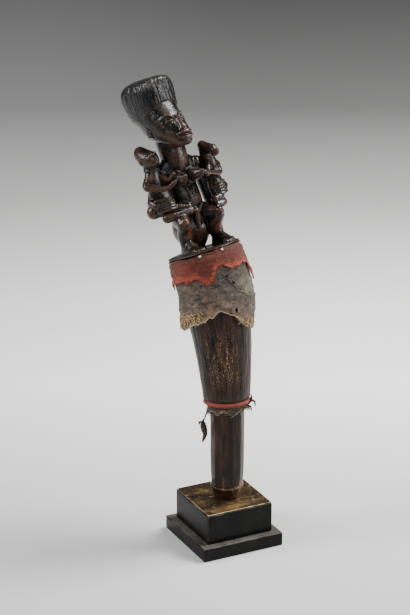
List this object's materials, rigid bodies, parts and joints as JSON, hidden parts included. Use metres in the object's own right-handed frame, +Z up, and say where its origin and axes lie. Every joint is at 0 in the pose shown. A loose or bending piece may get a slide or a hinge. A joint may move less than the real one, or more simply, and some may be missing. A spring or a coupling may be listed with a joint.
{
  "type": "dance wand",
  "caption": "Dance wand: a carved seated mother holding children, on a curved horn wrapped in torn cloth and hide, with a faceted wooden grip, on a stepped plinth.",
  "frame": {"origin": "centre of the plinth's underside", "axes": "+Z up from the plinth; -Y towards the plinth's front, which the figure faces; +X to the right as seen from the front"},
  "size_m": [0.1005, 0.1801, 0.4607],
  "materials": {
    "carving": "dark, handled and polished, reddish where worn",
    "horn": "dry striated horn, with pale flecks",
    "grip": "dark, faceted and polished by handling",
    "cloth": "dusty worn red cloth",
    "hide": "dry grey-brown hide with some hair left",
    "nail": "dull dome heads",
    "plate": "mottled brown patina",
    "plinth": "black satin, dusty at the edges"
  },
  "bodies": {
    "root": {"plinth_slab": "plinth", "plinth_block": "plinth", "plinth_top_plate": "plate", "grip": "grip", "horn": "horn", "hide_cuff": "hide", "cloth_band": "cloth", "cloth_ring": "cloth", "hide_shreds": "hide", "nail_1": "nail", "nail_2": "nail", "nail_3": "nail", "nail_4": "nail", "nail_5": "nail", "nail_6": "nail", "nail_7": "nail", "mother_and_children": "carving"}
  },
  "joints": []
}
